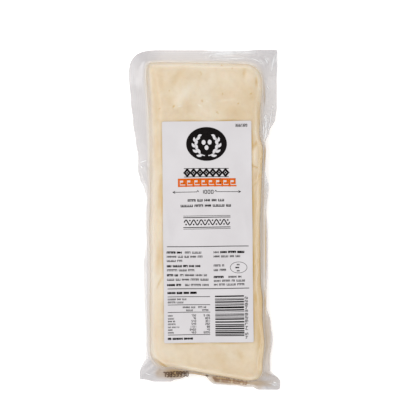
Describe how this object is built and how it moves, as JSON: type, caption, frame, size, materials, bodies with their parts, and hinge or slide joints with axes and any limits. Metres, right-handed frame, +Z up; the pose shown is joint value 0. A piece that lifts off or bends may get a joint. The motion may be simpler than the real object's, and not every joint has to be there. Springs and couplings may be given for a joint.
{
  "type": "vacuum-packed halloumi block",
  "caption": "Long flat block of pale cheese sealed in clear vacuum film with a flat seal round its edge, and a white paper label on its upper face.",
  "frame": {"origin": "on the surface the pack lies on, below the middle of the pack's outline in plan", "axes": "+X across the pack to the right of the label, +Y along the pack to the head of the label, +Z up out of the labelled face"},
  "size_m": [0.1164, 0.2614, 0.0354],
  "materials": {
    "film": "clear vacuum film over pale cream cheese",
    "label": "printed white paper"
  },
  "bodies": {
    "root": {"bag": "film", "label": "label"}
  },
  "joints": []
}
